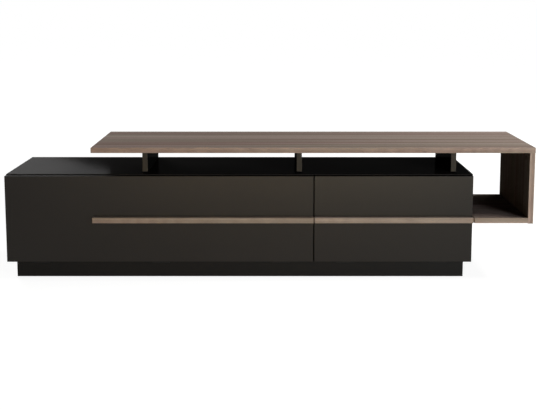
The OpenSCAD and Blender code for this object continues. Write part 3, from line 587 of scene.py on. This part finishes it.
PLATE_STEEL = (0.62, 0.61, 0.58)
ROD_STEEL = (0.66, 0.65, 0.63)
SCREW_STEEL = (0.60, 0.60, 0.58)
HOUSING_PLASTIC = (0.022, 0.022, 0.022)
GUIDE_PLASTIC = (0.040, 0.040, 0.042)
COVER_PLASTIC = (0.14, 0.105, 0.09)
CLEAR_PLASTIC = (0.82, 0.82, 0.80)


def dress_metal():
    dress(
        black_steel(),
        "hinge_body_leaves", "hinge_pins", "left_hinge_leaves", "right_hinge_leaves",
    )
    dress(
        steel("plated_plates", PLATE_STEEL, 0.32, "z"),
        "stay_plates", "left_stay_brackets", "right_stay_bracket", "left_strike_plates",
        "right_strike_plate",
    )
    dress(
        steel("plated_rods", ROD_STEEL, 0.2, "y"),
        "left_outer_stay_rod", "left_inner_stay_rod", "right_stay_rod",
    )
    dress(
        steel("zinc_plated_screws", SCREW_STEEL, 0.36, "x"),
        "spacer_screws", "cubby_screws", "plinth_screws", "body_screws", "cam_bolts",
        "left_door_screws", "left_rail_screws", "right_door_screws", "right_rail_screws",
    )
    dress(zinc(), "cam_locks")
    dress(magnet_and_poles(), "catch_magnets")


def dress_plastic_and_beech():
    dress(plastic("black_plastic", HOUSING_PLASTIC, 0.45, 0.03 * MM), "catch_housings")
    dress(
        plastic("guide_plastic", GUIDE_PLASTIC, 0.38, 0.02 * MM),
        "left_outer_stay_guide", "left_inner_stay_guide", "right_stay_guide",
    )
    dress(
        plastic("cover_plastic", COVER_PLASTIC, 0.5, 0.03 * MM, Specular_IOR_Level=0.0),
        "cam_covers",
    )
    dress(
        plastic(
            "clear_buffer", CLEAR_PLASTIC, 0.25, 0.004 * MM, Transmission_Weight=0.6, IOR=1.48
        ),
        "left_buffers", "right_buffers",
    )
    dress(beech(), "dowels")


def white_for_seen_rays(tree):
    """1 for camera, glossy and transmission rays, and 0 for the rays that light the object."""
    path = tree.nodes.new("ShaderNodeLightPath")
    seen = path.outputs["Is Camera Ray"]
    for name in ("Is Glossy Ray", "Is Transmission Ray"):
        either = tree.nodes.new("ShaderNodeMath")
        either.operation = "MAXIMUM"
        tree.links.new(seen, either.inputs[0])
        tree.links.new(path.outputs[name], either.inputs[1])
        seen = either.outputs[0]
    return seen


AMBIENT = 0.003
FLOOR_HALF = 200.0
FLOOR_COLOUR = (0.18, 0.18, 0.18)

# The floor glows less by the object, so that its shadow shows, and is plain white further off
GLOW_NEAR = 0.91
NEAR_REACH = 1.3
FAR_REACH = 3.0


def make_world():
    """White where it is seen, and a faint even light on the object."""
    world = bpy.data.worlds.new("studio")
    bpy.context.scene.world = world
    world.use_nodes = True
    tree = world.node_tree
    strength = tree.nodes.new("ShaderNodeMapRange")
    strength.inputs["To Min"].default_value = AMBIENT
    strength.inputs["To Max"].default_value = 1.0
    tree.links.new(white_for_seen_rays(tree), strength.inputs["Value"])
    background = tree.nodes["Background"]
    background.inputs["Color"].default_value = rgba(WHITE)
    tree.links.new(strength.outputs[0], background.inputs["Strength"])


def floor_material():
    """Pale floor: lit as any surface, so it keeps the shadow, and glowing where it is seen."""
    s = Shader("pale_floor")
    surface = s.add("ShaderNodeBsdfDiffuse", {"Color": rgba(FLOOR_COLOUR)})
    glow = s.add("ShaderNodeEmission", {"Color": rgba(WHITE)})
    distance = s.add("ShaderNodeVectorMath", {0: s.place}, operation="LENGTH").outputs["Value"]
    level = s.step(distance, NEAR_REACH, FAR_REACH, GLOW_NEAR, 1.0)
    s.put(glow.inputs["Strength"], s.math("MULTIPLY", white_for_seen_rays(s.tree), level))
    s.output(s.add("ShaderNodeAddShader", {0: surface.outputs[0], 1: glow.outputs[0]}))
    return s.material


def make_floor():
    mesh = bpy.data.meshes.new("floor")
    signs = ((-1, -1), (1, -1), (1, 1), (-1, 1))
    corners = [(x * FLOOR_HALF, y * FLOOR_HALF, 0) for x, y in signs]
    mesh.from_pydata(corners, [], [(0, 1, 2, 3)])
    floor = bpy.data.objects.new("floor", mesh)
    bpy.context.scene.collection.objects.link(floor)
    mesh.materials.append(floor_material())


# Softboxes: spread and roll are in degrees
CABINET_MIDDLE = (0.1, -0.1, 0.25)
LAMPS = [
    {
        "name": "low_key", "place": (1.1, -4.60, 0.13), "target": CABINET_MIDDLE,
        "size": (1.4, 0.22), "watts": 49.0, "colour": (1.0, 0.82, 0.54),
    },
    {
        "name": "left_key", "place": (-0.50, -4.60, 0.13), "target": (-0.65, -0.1, 0.25),
        "size": (1.7, 0.22), "watts": 3.4, "colour": (1.0, 0.74, 0.42), "spread": 45,
    },
    {
        "name": "right_fill", "place": (3.0, -3.0, 0.54), "target": CABINET_MIDDLE,
        "size": (1.5, 0.7), "watts": 178.0, "colour": (0.90, 0.96, 1.0),
    },
    {
        "name": "overhead", "place": (2.30, -0.1, 3.0), "target": CABINET_MIDDLE,
        "size": (1.6, 1.2), "watts": 145.0, "colour": (1.0, 0.98, 0.94),
    },
    # Its reflection is the shine on the top panel's bare left end
    {
        "name": "left_strip", "place": (-1.446, 1.339, 0.752),
        "target": (-0.886, -0.011, 0.353), "size": (1.11, 0.5), "watts": 3.38,
        "colour": (0.99, 0.99, 1.0), "spread": 50, "roll": -21,
    },
    {
        "name": "back_fill", "place": (3.4, 2.2, 0.45), "target": (0.0, 0.17, 0.25),
        "size": (1.4, 0.8), "watts": 20.0, "colour": WHITE, "spread": 100,
    },
]


def softbox(name, place, target, size, watts, colour, spread=180, roll=0):
    """Rectangular lamp. A spread below 180 degrees keeps its light to the front, as a grid does,
    and roll turns it about its own axis."""
    data = bpy.data.lights.new(name, "AREA")
    data.spread = math.radians(spread)
    data.shape = "RECTANGLE"
    data.size, data.size_y = size
    data.energy = watts
    data.color = colour
    lamp = bpy.data.objects.new(name, data)
    lamp.location = place
    aim = (Vector(target) - Vector(place)).to_track_quat("-Z", "Y")
    lamp.rotation_euler = (aim @ Quaternion((0, 0, 1), math.radians(roll))).to_euler()
    lamp.visible_camera = False
    bpy.context.scene.collection.objects.link(lamp)


def make_camera():
    data = bpy.data.cameras.new("camera")
    data.lens = LENS_MM
    data.sensor_fit = "HORIZONTAL"
    data.sensor_width = SENSOR_MM
    data.shift_x = SHIFT_X
    data.shift_y = SHIFT_Y
    camera = bpy.data.objects.new("camera", data)
    camera.location = CAMERA_PLACE
    camera.rotation_euler = (math.pi / 2 - CAMERA_PITCH, 0.0, 0.0)
    bpy.context.scene.collection.objects.link(camera)
    bpy.context.scene.camera = camera


make_camera()
dress_boards()
dress_metal()
dress_plastic_and_beech()
make_world()
make_floor()
for lamp in LAMPS:
    softbox(**lamp)
bpy.context.scene.view_settings.view_transform = "Standard"

bpy.context.view_layer.update()
